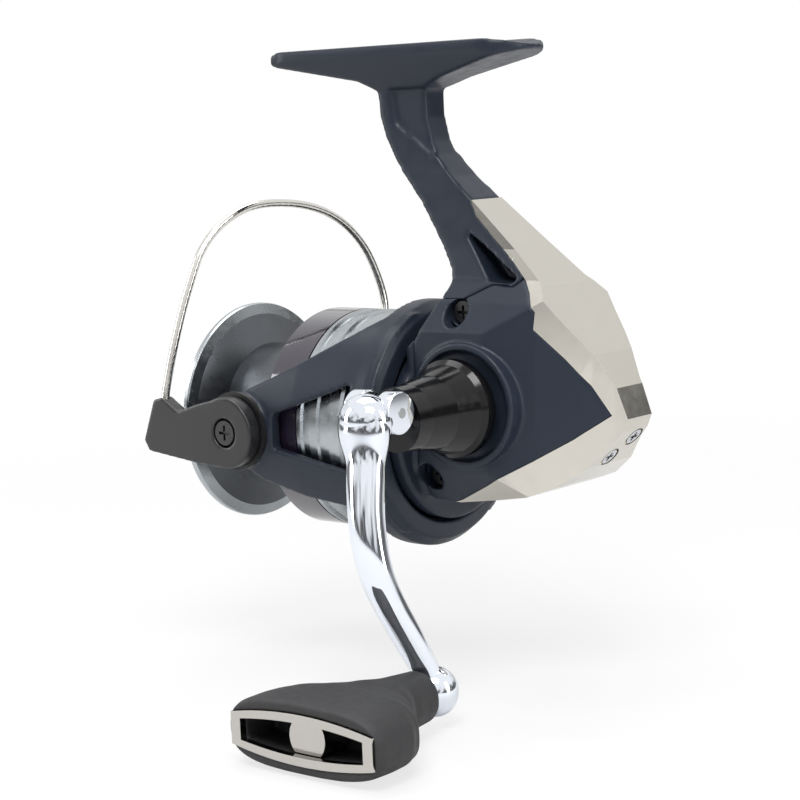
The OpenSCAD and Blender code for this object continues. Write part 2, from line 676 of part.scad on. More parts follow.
module spring_cover() color("#2b323d") difference() {
    intersection() {
        arm_shell(arm_inner + arm_wall + 0.02, arm_inner + arm_wall + 0.9);
        side_slab([for (q = [[17.5, 5.5], [3, 9], [3, -9], [17.5, -5.5]]) q + [0, axis_z]],
            -40, -10);
    }
    outward(-1, 5, 10, axis_z + 5.4) cylinder(r = 0.8, h = 30);
}

module spring_cover_screw() color("#1a1a1c") outward(-1, 5, 0, axis_z + 5.4) {
    translate([0, 0, arm_inner + 0.4]) cylinder(r = 0.7, h = 2.8);
    translate([0, 0, arm_inner + 3.1]) cylinder(r = 1.2, h = 0.6);
}

module bail_lever() color("#2f2f31") difference() {
    union() {
        side_slab([for (q = lever_outline) q + [pivot_x, axis_z]], lever_in, lever_out);
        across(pivot_x, lever_in, axis_z) cylinder(r = lever_round, h = lever_out - lever_in);
    }
    across(pivot_x, 0, axis_z) cylinder(r = pivot_radius + running, h = beyond);
    across(pivot_x, lever_out - 1.4, axis_z) cylinder(r = 3.1, h = 5);
    translate(wire_points[0]) cylinder(r = wire_radius, h = 12);
}

module bail_arm() color("#2f2f31") difference() {
    union() {
        hull() {
            outward(-1, pivot_x, roller_out + arm_play, axis_z)
                cylinder(r = lever_round, h = roller_arm, $fn = 32);
            outward(-1, roller_at[0], roller_out + arm_play, roller_at[1])
                cylinder(r = 3.8, h = roller_arm, $fn = 32);
        }
        outward(-1, pivot_x, lever_in, axis_z) cylinder(r = 6, h = lever_out - lever_in);
    }
    outward(-1, pivot_x, 0, axis_z) cylinder(r = pivot_radius + running, h = beyond);
    outward(-1, pivot_x, lever_out - 1.4, axis_z) cylinder(r = 3.1, h = 5);
    outward(-1, roller_at[0], 0, roller_at[1]) cylinder(r = roller_axle, h = beyond);
}

module bail_wire() color("silver") tube(smooth(wire_points, 4), [0, 1, 0], [wire_radius],
    [wire_radius], 10);

module wire_cap() color("silver") difference() {
    outward(-1, roller_at[0], cap_in, roller_at[1]) rotate_extrude()
        polygon([[0, 0], [cap_round - 0.7, 0], [cap_round, 0.5], [cap_round, roller_in - cap_in],
            [0, roller_in - cap_in]]);
    outward(-1, roller_at[0], cap_in + cap_floor, roller_at[1])
        cylinder(r = roller_axle, h = roller_in - cap_in);
    translate(wire_points[len(wire_points) - 1]) cylinder(r = wire_radius, h = 5);
}

module roller_screw() color("gray")
    outward(-1, roller_at[0], cap_in + cap_floor, roller_at[1]) {
        shank = roller_out + arm_play + roller_arm - cap_in - cap_floor;
        cylinder(r = roller_axle, h = shank);
        translate([0, 0, shank]) screw_top(2 * roller_axle, 0.5);
    }

module line_roller() color("#c9a86a") outward(-1, roller_at[0], roller_in + 0.1, roller_at[1])
    rotate_extrude() polygon([[roller_axle + running, 0], [roller_radius, 0], [roller_radius - 0.8, 0.9],
        [roller_radius - 0.8, roller_out - roller_in - 1], [roller_radius, roller_out - roller_in - 0.1],
        [roller_axle + running, roller_out - roller_in - 0.1]]);

module spool() color("#8d9095") union() {
    turned(0, [[hub_radius - 1.2, hub_back], [hub_radius, hub_back], [hub_radius, web_x],
        [arbor_radius - 1.6, web_x], [arbor_radius - 1.6, arbor_back - 1.5],
        [skirt_radius - skirt_wall + 0.3, arbor_back - 1.5], [skirt_radius - skirt_wall + 0.3,
        skirt_back + 12], [skirt_radius - 0.6, skirt_back + 12], [skirt_radius - 0.6,
        arbor_back - 0.4], [arbor_radius, arbor_back], [arbor_radius, arbor_front],
        [lip_radius - 2.4, lip_front - 2.2], [lip_radius - 2.4, lip_front - 0.6],
        [drag_radius + 1, lip_front - 3.2], [drag_radius + 1, stack_front + clip_thick],
        [drag_radius + 0.7, stack_front + clip_thick], [drag_radius + 0.7, stack_front],
        [drag_radius, stack_front], [drag_radius, stack_x], [hub_radius - 1.2, stack_x]]);
}

module lip_ring() color("#c6c8cb") turned(0, [[lip_radius - 2.4, lip_front - 2.2],
    [lip_radius - 0.2, lip_front - 1.6], [lip_radius, lip_front - 1.2], [lip_radius,
    lip_front - 0.4], [lip_radius - 0.6, lip_front], [lip_radius - 1.6, lip_front],
    [lip_radius - 2.4, lip_front - 0.6]]);

module skirt_band() color("#241c2c") turned(0, [[skirt_radius - 0.6, skirt_back + 12.4],
    [skirt_radius, skirt_back + 12.4], [skirt_radius, arbor_back - 0.9],
    [skirt_radius - 0.6, arbor_back - 0.4]]);

module skirt_rings() color("#9a9a98") turned(0, [[skirt_radius - skirt_wall, skirt_back],
    [skirt_radius - 0.5, skirt_back], [skirt_radius, skirt_back + 0.6],
    [skirt_radius, skirt_back + 3.4], [skirt_radius - 0.5, skirt_back + 3.8],
    [skirt_radius - 0.5, skirt_back + 6.2], [skirt_radius, skirt_back + 6.6],
    [skirt_radius, skirt_back + 8.6], [skirt_radius - 0.5, skirt_back + 9],
    [skirt_radius - 0.5, skirt_back + 10.6], [skirt_radius, skirt_back + 11],
    [skirt_radius, skirt_back + 12], [skirt_radius - skirt_wall, skirt_back + 12]]);

module spool_bushes() color("#b08d4a") for (x = [hub_back, stack_x - 3]) on_axis(x)
    ring(shaft_radius + running, hub_radius - 1.2, 3);

module felt_washers() color("#b9b29c") for (i = [0:2]) on_axis(stack_x + i * stack_pitch)
    ring(shaft_radius + 0.8, drag_radius - 0.3, felt_thick);

module metal_washers() color("silver") for (i = [0:2])
    on_axis(stack_x + felt_thick + i * stack_pitch)
        ring(shaft_radius + 0.4, drag_radius - 0.1, metal_thick);

module washer_clip() color("silver") on_axis(stack_front)
    ring(drag_radius - 0.9, drag_radius + 0.7, clip_thick);

module spool_stop() color("#b08d4a") on_axis(hub_back - 1.6) ring(shaft_radius, 4.2, 1.4);

module press_plate() color("silver") on_axis(plate_x)
    ring(shaft_radius + running, drag_radius - 1.6, plate_thick);

module drag_knob() color("#3a3f47") difference() {
    on_axis(knob_x) rotate_extrude() polygon([[shaft_radius + 0.2, 0.4], [4.4, 0.4], [4.4, 5],
        [9.6, 5], [9.6, 0], [cap_radius - 0.6, 0], [cap_radius, 0.8], [cap_radius, 3.6],
        [cap_radius - 1.2, knob_depth - 1], [cap_radius - 2.4, knob_depth], [0, knob_depth],
        [0, knob_depth - 1.5], [shaft_radius + 0.2, knob_depth - 1.5]]);
    for (a = [0:30:330]) on_axis(knob_x + 4.6) rotate([0, 0, a])
        translate([cap_radius + 0.8, 0, 0]) cylinder(r = 1.6, h = 20);
}

module knob_spring() color("silver") on_axis(knob_x + 0.2) ring(4.8, 5.6, 4.6);

// Folding crank: hub with a slot for the shaft's tongue, and an S-shaped arm
function crank_point(s, y) = [handle_x, y, handle_z] + s * knob_dir;

module handle_arm() color("#e6e9ee") difference() {
    union() {
        intersection() {
            translate([handle_x - hub_half, fold_y, fold_z]) rotate([0, 90, 0])
                cylinder(r = 4.1, h = 2 * hub_half);
            translate([handle_x - 9, collar_tip + 0.4, axis_z - 60]) cube([18, 20, 80]);
        }
        hull() {
            translate([handle_x - hub_half, fold_y + 1, fold_z - 1]) rotate([0, 90, 0])
                cylinder(r = 3.6, h = 2 * hub_half, $fn = 32);
            translate([handle_x - hub_half + 0.6, fold_y + 5.5, fold_z - 2]) rotate([0, 90, 0])
                cylinder(r = 4, h = 2 * hub_half - 1.2, $fn = 32);
            translate([handle_x - hub_half + 1, fold_y + 3.6, handle_z - 5]) rotate([0, 90, 0])
                cylinder(r = 2.4, h = 2 * hub_half - 2.6, $fn = 32);
        }
        tube(smooth([crank_point(2, fold_y + 5), crank_point(9, fold_y + 6.4),
            crank_point(18, fold_y + 8.6), crank_point(26, fold_y + 8.8),
            crank_point(34, fold_y + 6.2), crank_point(43, fold_y + 2),
            crank_point(crank_radius, ball_y)], 4), [1, 0, 0],
            [for (i = [0:24]) 3.3 - 0.035 * i], [for (i = [0:24]) 2.9 - 0.03 * i], 16);
        translate(crank_point(crank_radius, ball_y)) sphere(r = ball_radius);
    }
    translate([handle_x - tongue - 0.15, collar_tip, handle_z - 7])
        cube([2 * tongue + 0.3, fold_y + 3.4 - collar_tip, 20]);
    translate([handle_x - 10, fold_y, fold_z]) rotate([0, 90, 0]) cylinder(r = 1, h = 20);
    translate(knob_centre) across(0, ball_y - 3, 0) cylinder(r = post_radius, h = 12);
    translate(knob_centre) across(0, ball_y + 4.2, 0) cylinder(r = 9, h = 12);
}

module fold_pin() color("silver") translate([handle_x - hub_half - 0.1, fold_y, fold_z])
    rotate([0, 90, 0]) cylinder(r = 1, h = 2 * hub_half + 0.2);

module knob_post() color("silver") translate(knob_centre) across(0, ball_y - 3, 0)
    cylinder(r = post_radius, h = paddle_y - 4.5 - ball_y + 3);

module at_knob(y) translate(knob_centre) across(0, y, 0) children();

// Slim lens with blunt ends, and a plate of that outline across the knob's axis
module lens(length, height, end) intersection() {
    bow = (height - end) / 2;
    bend = (pow(length / 2, 2) + pow(bow, 2)) / (2 * bow);
    translate([0, bend - height / 2]) circle(r = bend, $fn = 160);
    translate([0, height / 2 - bend]) circle(r = bend, $fn = 160);
    square([length, height], center = true);
}
module lens_plate(length, height, end, from, to) at_knob(from) linear_extrude(to - from)
    lens(length, height, end);

module knob_form() {
    at_knob(neck_y) cylinder(r = knob_neck, h = 14);
    intersection() {
        lens_plate(knob_length, knob_height, 0.62 * knob_height, neck_y, paddle_y);
        translate(knob_centre - [0, 0, knob_height]) linear_extrude(2 * knob_height)
            polygon(both_sides([for (q = knob_flare) [q[0] * knob_length / 2, neck_y + q[1]]]));
        translate(knob_centre - [knob_length, 0, 0]) rotate([0, 90, 0])
            linear_extrude(2 * knob_length) polygon(both_sides([for (q = knob_rise)
                [q[0] * knob_height / 2, neck_y + q[1]]]));
    }
}

module knob_grip() color("#3f3f41") difference() {
    knob_form();
    at_knob(0) cylinder(r = post_radius + running, h = 200);
    lens_plate(knob_length - 2.5, bezel_height, bezel_end, paddle_y - bezel_thick, paddle_y + 5);
    lens_plate(knob_length - 7, bezel_height - 2, bezel_end - 1.6, paddle_y - 9, paddle_y);
    at_knob(paddle_y - 8.4) cylinder(r = post_cap_radius + 0.4, h = 8.4 - bezel_thick);
}

module knob_bezel() color("#cfcbc2") difference() {
    lens_plate(knob_length - 2.5, bezel_height, bezel_end, paddle_y - bezel_thick, paddle_y + 0.3);
    lens_plate(knob_length - 7, bezel_height - 3.2, bezel_end - 2, paddle_y - 5, paddle_y + 5);
}

module post_cap() color("#d8d6d0") difference() {
    at_knob(paddle_y - 7.8) cylinder(r = post_cap_radius, h = 7.8 - bezel_thick - 0.4);
    at_knob(paddle_y - 9) cylinder(r = post_radius, h = 4.5);
}

body_frame();
side_cover();
rear_guard();
cover_screws();
guard_screws();
drive_bearings();
pinion_bearing();
roller_clutch();
clutch_retainer();
retainer_screws();
slider_guide();
handle_shaft();
drive_gear();
handle_collar();
handle_cap();
handle_arm();
fold_pin();
knob_post();
knob_grip();
knob_bezel();
post_cap();
oscillating_gear();
main_shaft();
slider_block();
slider_screw();
rotor();
pinion_gear();
clutch_sleeve();
rotor_nut();
pivot_washers();
pivot_screws();
bail_spring();
spring_cover();
spring_cover_screw();
bail_lever();
bail_arm();
bail_wire();
wire_cap();
roller_screw();
line_roller();
spool();
lip_ring();
skirt_band();
skirt_rings();
spool_bushes();
felt_washers();
metal_washers();
washer_clip();
spool_stop();
press_plate();
drag_knob();
knob_spring();
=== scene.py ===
"""Looks of the spinning reel: detailed pieces, materials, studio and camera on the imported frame.

Lengths are in metres in the row frame: +X to the spool's front, +Y to the handle, +Z to the foot.
Tables marked mm are in millimetres.
"""

import json
import math

import bmesh
import bpy
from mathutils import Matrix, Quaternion, Vector


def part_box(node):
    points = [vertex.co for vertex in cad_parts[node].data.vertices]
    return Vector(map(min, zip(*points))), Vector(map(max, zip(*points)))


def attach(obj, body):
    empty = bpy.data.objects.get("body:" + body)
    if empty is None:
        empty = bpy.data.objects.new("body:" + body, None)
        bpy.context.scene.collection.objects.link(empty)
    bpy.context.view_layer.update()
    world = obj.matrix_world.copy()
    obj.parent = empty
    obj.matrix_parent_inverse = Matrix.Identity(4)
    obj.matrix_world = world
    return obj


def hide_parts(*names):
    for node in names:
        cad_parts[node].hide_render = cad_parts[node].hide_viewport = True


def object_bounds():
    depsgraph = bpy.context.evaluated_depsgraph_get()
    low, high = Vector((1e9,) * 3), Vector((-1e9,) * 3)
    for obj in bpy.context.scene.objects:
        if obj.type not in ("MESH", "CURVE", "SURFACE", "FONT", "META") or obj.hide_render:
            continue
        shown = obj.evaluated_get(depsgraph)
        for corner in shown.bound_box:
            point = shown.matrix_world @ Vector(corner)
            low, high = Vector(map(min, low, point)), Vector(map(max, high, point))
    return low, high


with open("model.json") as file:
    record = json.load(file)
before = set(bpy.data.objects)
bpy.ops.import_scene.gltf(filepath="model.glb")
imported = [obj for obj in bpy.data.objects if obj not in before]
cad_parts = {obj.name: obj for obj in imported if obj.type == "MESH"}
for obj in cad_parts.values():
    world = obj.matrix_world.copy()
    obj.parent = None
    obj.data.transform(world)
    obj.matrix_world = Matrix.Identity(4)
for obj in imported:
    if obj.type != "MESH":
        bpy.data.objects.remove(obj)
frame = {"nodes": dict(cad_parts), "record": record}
cad_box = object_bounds()
nodes = frame["nodes"]
record = frame["record"]
body_of = {node: body for body, names in record["behaviour"]["bodies"].items() for node in names}
slot_of = {part["node"]: part["material_slot"] for part in record["subparts"]}
MM = 0.001

# Axes of the reel, read from the frame; a slide has no place of its own
joint_at = {joint["name"]: joint["pos_m"] for joint in record["behaviour"]["joints"] if "pos_m" in joint}
axis_z = joint_at["rotor_spin"][2]
handle_at = Vector(joint_at["handle_turn"])

# Vertices of a CAD mesh closer than this are one
weld_distance = 0.002 * MM


# ---------------------------------------------------------------- materials

def add_node(tree, kind, inputs=None, **settings):
    """A new shader node. Each input takes a value, or a link if it is given a socket."""
    made = tree.nodes.new(kind)
    for key, value in settings.items():
        setattr(made, key, value)
    for key, value in (inputs or {}).items():
        if isinstance(value, bpy.types.NodeSocket):
            tree.links.new(value, made.inputs[key])
        else:
            made.inputs[key].default_value = value
    return made


class Shader:
    """A material under construction: its principled shader and short calls for texture nodes."""

    def __init__(self, name, color, **values):
        self.material = bpy.data.materials.new(name)
        self.material.use_nodes = True
        self.tree = self.material.node_tree
        self.base = self.tree.nodes["Principled BSDF"]
        self.base.inputs["Base Color"].default_value = (*color, 1)
        self.color = color
        for key, value in values.items():
            self.base.inputs[key.replace("_", " ")].default_value = value

    def node(self, kind, inputs=None, **settings):
        return add_node(self.tree, kind, inputs, **settings)

    def place(self, scale=(1, 1, 1), shift=(0, 0, 0)):
        """Object coordinates, scaled and shifted per axis."""
        source = self.node("ShaderNodeTexCoord").outputs["Object"]
        mapping = self.node("ShaderNodeMapping", {"Vector": source, "Scale": scale, "Location": shift})
        return mapping.outputs["Vector"]

    def noise(self, size, detail=4, stretch=(1, 1, 1)):
        """Noise whose features are about size metres across."""
        return self.node("ShaderNodeTexNoise", {
            "Vector": self.place(stretch), "Scale": 1 / size, "Detail": detail}).outputs["Fac"]

    def roughness(self, factor, low, high):
        """Roughness from low to high over the middle of a noise's range."""
        spread = self.node("ShaderNodeMapRange", {
            "Value": factor, "From Min": 0.3, "From Max": 0.7, "To Min": low, "To Max": high})
        self.tree.links.new(spread.outputs["Result"], self.base.inputs["Roughness"])

    def tint(self, factor, dark, light):
        """Varies the base colour between two brightness levels."""
        mix = self.node("ShaderNodeMix", {"Factor": factor}, data_type="RGBA")
        mix.inputs["A"].default_value = (*[c * dark for c in self.color], 1)
        mix.inputs["B"].default_value = (*[min(c * light, 1) for c in self.color], 1)
        self.tree.links.new(mix.outputs["Result"], self.base.inputs["Base Color"])

    def bump(self, height, strength, distance):
        made = self.node("ShaderNodeBump", {"Height": height, "Strength": strength, "Distance": distance})
        self.tree.links.new(made.outputs["Normal"], self.base.inputs["Normal"])

    def round_axis(self):
        """Distance from the spool axis and place along it, in metres."""
        split = self.node("ShaderNodeSeparateXYZ", {"Vector": self.place(shift=(0, 0, -axis_z))})
        flat = self.node("ShaderNodeCombineXYZ", {"Y": split.outputs["Y"], "Z": split.outputs["Z"]})
        radius = self.node("ShaderNodeVectorMath", {0: flat.outputs["Vector"]}, operation="LENGTH")
        return radius.outputs["Value"], split.outputs["X"]

    def grooves(self, value, pitch):
        """A fine ridge pattern along a length value, pitch metres apart."""
        turns = self.node("ShaderNodeMath", {0: value, 1: 2 * math.pi / pitch}, operation="MULTIPLY")
        wave = self.node("ShaderNodeMath", {0: turns.outputs[0]}, operation="SINE")
        return self.node("ShaderNodeMapRange", {"Value": wave.outputs[0], "From Min": -1}).outputs["Result"]


def paint(name, color):
    """Satin paint on cast metal, with a faint orange peel."""
    rough = 0.36
    shader = Shader(name, color, Specular_IOR_Level=0.3)
    shader.tint(shader.noise(14 * MM, 3), 0.9, 1.12)
    shader.roughness(shader.noise(3 * MM, 5), rough - 0.05, rough + 0.06)
    shader.bump(shader.noise(0.25 * MM, 2), 0.12, 0.03 * MM)
    return shader.material


def chrome(name, color, rough):
    """Polished plating with slight haze and ripple."""
    shader = Shader(name, color, Metallic=1)
    shader.tint(shader.noise(9 * MM, 3), 0.95, 1.04)
    shader.roughness(shader.noise(2.5 * MM, 4), rough, rough + 0.06)
    shader.bump(shader.noise(6 * MM, 2), 0.05, 0.1 * MM)
    return shader.material


def turned_metal(name, color, rough):
    """Metal turned on the spool axis: fine circular tool marks."""
    pitch = 0.22 * MM
    shader = Shader(name, color, Metallic=1, Anisotropic=0.6)
    tangent = shader.node("ShaderNodeTangent", direction_type="RADIAL", axis="X")
    shader.tree.links.new(tangent.outputs["Tangent"], shader.base.inputs["Tangent"])
    radius, along = shader.round_axis()
    across = shader.node("ShaderNodeMath", {0: radius, 1: along}, operation="ADD").outputs[0]
    lines = shader.grooves(across, pitch)
    shader.tint(shader.noise(5 * MM, 4), 0.92, 1.08)
    shader.roughness(shader.noise(2 * MM, 4), rough - 0.04, rough + 0.07)
    shader.bump(lines, 0.1, 0.01 * MM)
    return shader.material


def plain_metal(name, color, rough=0.3):
    """Machined metal with small random marks."""
    shader = Shader(name, color, Metallic=1)
    shader.tint(shader.noise(2 * MM, 4), 0.85, 1.1)
    shader.roughness(shader.noise(1.2 * MM, 5), rough - 0.08, rough + 0.1)
    shader.bump(shader.noise(0.3 * MM, 3), 0.15, 0.02 * MM)
    return shader.material


def plastic(name, color, rough, coat=0.0, grain=0.15 * MM, depth=0.02 * MM, shine=0.5):
    """Moulded plastic or lacquer."""
    shader = Shader(name, color, Coat_Weight=coat, Coat_Roughness=0.05, Specular_IOR_Level=shine)
    shader.tint(shader.noise(6 * MM, 3), 0.88, 1.15)
    shader.roughness(shader.noise(1.6 * MM, 5), max(rough - 0.05, 0.02), rough + 0.06)
    shader.bump(shader.noise(grain, 3), 0.2, depth)
    return shader.material


def felt(name, color):
    """Pressed fibre."""
    shader = Shader(name, color, Sheen_Weight=0.4)
    shader.tint(shader.noise(0.4 * MM, 6), 0.7, 1.2)
    shader.roughness(shader.noise(0.5 * MM, 4), 0.85, 1.0)
    shader.bump(shader.noise(0.2 * MM, 6, (1, 1, 3)), 0.6, 0.08 * MM)
    return shader.material


material = {
    "navy_paint": paint("navy_paint", (0.017, 0.023, 0.037)),
    "cover_paint": paint("cover_paint", (0.018, 0.025, 0.040)),
    "guard_chrome": chrome("guard_chrome", (0.60, 0.575, 0.52), 0.12),
    "black_screw": plastic("black_screw", (0.012, 0.012, 0.013), 0.3, 0.3),
    "steel": plain_metal("steel", (0.55, 0.56, 0.57)),
    "brass": plain_metal("brass", (0.72, 0.52, 0.25), 0.25),
    "gear_zinc": plain_metal("gear_zinc", (0.46, 0.48, 0.50), 0.4),
    "black_gloss": plastic("black_gloss", (0.004, 0.004, 0.0045), 0.12, shine=0.32),
    "handle_chrome": chrome("handle_chrome", (0.82, 0.86, 0.93), 0.03),
    "rubber_grip": plastic("rubber_grip", (0.022, 0.022, 0.024), 0.62, grain=0.12 * MM, depth=0.05 * MM),
    "bezel_nickel": chrome("bezel_nickel", (0.50, 0.48, 0.45), 0.1),
    "washer_black": plastic("washer_black", (0.010, 0.010, 0.011), 0.45),
    "lever_black": plastic("lever_black", (0.014, 0.014, 0.016), 0.33, 0.15),
    "wire_steel": chrome("wire_steel", (0.70, 0.68, 0.64), 0.12),
    "spool_grey": turned_metal("spool_grey", (0.12, 0.128, 0.138), 0.3),
    "lip_bright": turned_metal("lip_bright", (0.42, 0.45, 0.47), 0.22),
    "skirt_black": plastic("skirt_black", (0.020, 0.014, 0.030), 0.1, 1.0, 0.6 * MM, 0.004 * MM),
    "felt": felt("felt", (0.45, 0.42, 0.33)),
    "knob_grey": plastic("knob_grey", (0.040, 0.045, 0.055), 0.34, 0.1),
}

for name, piece in nodes.items():
    piece.data.materials.clear()
    piece.data.materials.append(material[slot_of[name]])


# ---------------------------------------------------------------- steps shared by the pieces

def mm(x, y, z):
    """A vector given in mm."""
    return Vector((x * MM, y * MM, z * MM))


def solid(name, mesh):
    obj = bpy.data.objects.new(name, mesh)
    bpy.context.scene.collection.objects.link(obj)
    return obj


def solid_from(made, name):
    """The object that a bmesh describes."""
    mesh = bpy.data.meshes.new(name)
    made.to_mesh(mesh)
    return solid(name, mesh)


def add_cuts(obj, cutters):
    for number, cutter in enumerate(cutters):
        cut = obj.modifiers.new(f"cut_{number}", "BOOLEAN")
        cut.object = cutter
        cut.solver = "EXACT"


def add_weld(obj):
    obj.modifiers.new("weld", "WELD").merge_threshold = weld_distance


def add_remesh(obj, voxel, rounds):
    """Rebuilds the surface in voxels and smooths it, so that its edges are round."""
    remesh = obj.modifiers.new("remesh", "REMESH")
    remesh.mode = "VOXEL"
    remesh.voxel_size = voxel
    smooth = obj.modifiers.new("smooth", "SMOOTH")
    smooth.factor = 0.5
    smooth.iterations = rounds


def add_bevel(obj, width, segments, angle, harden=True):
    """Eases the edges that turn by more than an angle in degrees."""
    bevel = obj.modifiers.new("edge", "BEVEL")
    bevel.width = width
    bevel.segments = segments
    bevel.limit_method = "ANGLE"
    bevel.angle_limit = math.radians(angle)
    bevel.harden_normals = harden


def baked(obj, cutters=()):
    """Applies an object's modifiers to a plain mesh and removes the cutters that they used."""
    graph = bpy.context.evaluated_depsgraph_get()
    mesh = bpy.data.meshes.new_from_object(obj.evaluated_get(graph))
    obj.modifiers.clear()
    obj.data = mesh
    for cutter in cutters:
        bpy.data.objects.remove(cutter)


def finished(obj, node):
    """Gives a new piece the material, slot and body of the CAD node that it stands for."""
    obj.data.materials.clear()
    obj.data.materials.append(material[slot_of[node]])
    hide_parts(node)
    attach(obj, body_of[node])


def prism(outline, start, end):
    """A closed slab with a side-view outline, x and z in mm, between two y values in mm."""
    made = bmesh.new()
    low = [made.verts.new((x * MM, start * MM, z * MM)) for x, z in outline]
    high = [made.verts.new((x * MM, end * MM, z * MM)) for x, z in outline]
    made.faces.new(low)
    made.faces.new(high[::-1])
    for i in range(len(outline)):
        j = (i + 1) % len(outline)
        made.faces.new((low[i], high[i], high[j], low[j]))
    bmesh.ops.recalc_face_normals(made, faces=made.faces)
    return solid_from(made, "prism")


def curve_through(points, steps):
    """Smooth points along a Catmull-Rom curve."""
    points = [Vector(p) for p in points]
    found = []
    for i in range(len(points) - 1):
        a, b, c, d = (points[max(i - 1, 0)], points[i], points[i + 1], points[min(i + 2, len(points) - 1)])
        for k in range(steps):
            t = k / steps
            found.append((2 * b + (c - a) * t + (2 * a - 5 * b + 4 * c - d) * t ** 2
                          + (3 * b - a - 3 * c + d) * t ** 3) / 2)
    return found + [points[-1]]


def size_at(table, place):
    """The size at a place in a list of (size, place) pairs, eased between them."""
    for (a, start), (b, end) in zip(table, table[1:]):
        if place <= end:
            t = (place - start) / (end - start)
            return a + (b - a) * t * t * (3 - 2 * t)
    return table[-1][0]


def skin(made, rings):
    """Closes a list of equal rings of vertices into one surface with flat ends."""
    sides = len(rings[0])
    for low, high in zip(rings, rings[1:]):
        for k in range(sides):
            j = (k + 1) % sides
            made.faces.new((low[k], low[j], high[j], high[k]))
    made.faces.new(rings[0][::-1])
    made.faces.new(rings[-1])


def add_tube(made, path, side, wide, deep, sides=40):
    """A closed tube. The tables give its half width and half depth, mm, by share of its length."""
    rings = []
    for i, centre in enumerate(path):
        along = (path[min(i + 1, len(path) - 1)] - path[max(i - 1, 0)]).normalized()
        across = along.cross(side).normalized()
        flat = across.cross(along)
        share = i / (len(path) - 1)
        a, b = size_at(wide, share) * MM, size_at(deep, share) * MM
        rings.append([made.verts.new(centre + flat * a * math.sin(2 * math.pi * k / sides)
                                     + across * b * math.cos(2 * math.pi * k / sides))
                      for k in range(sides)])
    skin(made, rings)


def add_ball(made, centre, radii):
    """An ellipsoid; its radii are a vector."""
    ball = bmesh.ops.create_uvsphere(made, u_segments=40, v_segments=24, radius=1)
    bmesh.ops.scale(made, vec=radii, verts=ball["verts"])
    bmesh.ops.translate(made, vec=centre, verts=ball["verts"])


def add_barrel(made, centre, radius, half):
    """A cylinder along X."""
    barrel = bmesh.ops.create_cone(made, cap_ends=True, segments=56, radius1=radius, radius2=radius,
                                   depth=2 * half)
    spin = Quaternion((0, 1, 0), math.pi / 2).to_matrix()
    bmesh.ops.rotate(made, matrix=spin, verts=barrel["verts"])
    bmesh.ops.translate(made, vec=centre, verts=barrel["verts"])


# ---------------------------------------------------------------- pieces made from CAD forms

def moulded(name, node, voxel, cutters=(), rounds=4, keep=0.5):
    """The CAD node as a moulded piece with round edges, thinned to a share of its triangles."""
    obj = solid(name, nodes[node].data.copy())
    add_cuts(obj, cutters)
    add_weld(obj)
    add_remesh(obj, voxel, rounds)
    obj.modifiers.new("thin", "DECIMATE").ratio = keep
    baked(obj, cutters)
    obj.data.shade_smooth()
    finished(obj, node)


def bevelled(name, node, cutters=(), grow=1):
    """The CAD node as a crisp piece with eased edges; grow widens it about the handle's axis."""
    mesh = nodes[node].data.copy()
    for vertex in mesh.vertices:
        vertex.co.x = handle_at.x + (vertex.co.x - handle_at.x) * grow
        vertex.co.z = handle_at.z + (vertex.co.z - handle_at.z) * grow
    obj = solid(name, mesh)
    add_weld(obj)
    add_cuts(obj, cutters)
    add_bevel(obj, 0.5 * MM, 4, 11)
    baked(obj, cutters)
    finished(obj, node)


def wire():
    """The bail wire with a smooth round section."""
    obj = solid("wire", nodes["bail_wire"].data.copy())
    add_weld(obj)
    round_off = obj.modifiers.new("round", "SUBSURF")
    round_off.levels = round_off.render_levels = 2
    baked(obj)
    obj.data.shade_smooth()
    finished(obj, "bail_wire")


# ---------------------------------------------------------------- the crank

# Middle line of the arm, mm: distance along the arm from the handle's axis, and height above y = 0
crank_line = [(-4.5, 46.6), (-1.5, 46.6), (2.5, 46.9), (6.5, 47.8), (11.3, 49.3), (17, 50.6),
              (22.6, 51.1), (28.5, 50.4), (34, 48.4), (41.5, 44.7), (47.1, 42.2), (52, 40.6)]
crank_wide = [(1.5, 0), (5.4, 0.06), (5.7, 0.14), (4.1, 0.3), (3.7, 0.5), (3.3, 0.75), (2.7, 1)]
crank_deep = [(1, 0), (3.4, 0.06), (3.9, 0.14), (3.2, 0.3), (3.0, 0.6), (2.4, 1)]
# The cheeks and the knuckle between them: places from the fold joint, mm, and sizes
cheek_shift, cheek_rise, cheek_radius, cheek_half = 3.8, 0.2, 4.1 * MM, 1.8 * MM
knuckle_shift, knuckle_radii = mm(0, 3.8, -1.3), (5.75 * MM, 4.7 * MM, 5.2 * MM)
# The ball at the knob's end: its place as for the middle line, and its size
end_ball, end_ball_radii = (52, 40.5), (4.9 * MM, 4.3 * MM, 4.9 * MM)


def crank():
    """The chromed crank: two cheeks round the shaft's tongue, an S-shaped arm and a ball."""
    made = bmesh.new()
    fold, knob = Vector(joint_at["handle_fold"]), Vector(joint_at["knob_spin"])
    hub = Vector((handle_at.x, 0, handle_at.z))
    down = (Vector((knob.x, 0, knob.z)) - hub).normalized()

    def at(along, out):
        return hub + down * along * MM + mm(0, out, 0)

    for side in (-1, 1):
        add_barrel(made, fold + mm(side * cheek_shift, cheek_rise, 0), cheek_radius, cheek_half)
    add_ball(made, fold + knuckle_shift, knuckle_radii)
    path = curve_through([at(*place) for place in crank_line], 8)
    add_tube(made, path, Vector((1, 0, 0)), crank_wide, crank_deep)
    add_ball(made, at(*end_ball), end_ball_radii)
    bmesh.ops.recalc_face_normals(made, faces=made.faces)
    obj = solid_from(made, "crank_arm")
    add_bevel(obj, 0.7 * MM, 5, 50, harden=False)
    baked(obj)
    obj.data.shade_smooth()
    finished(obj, "handle_arm")


# ---------------------------------------------------------------- the guard's two screws

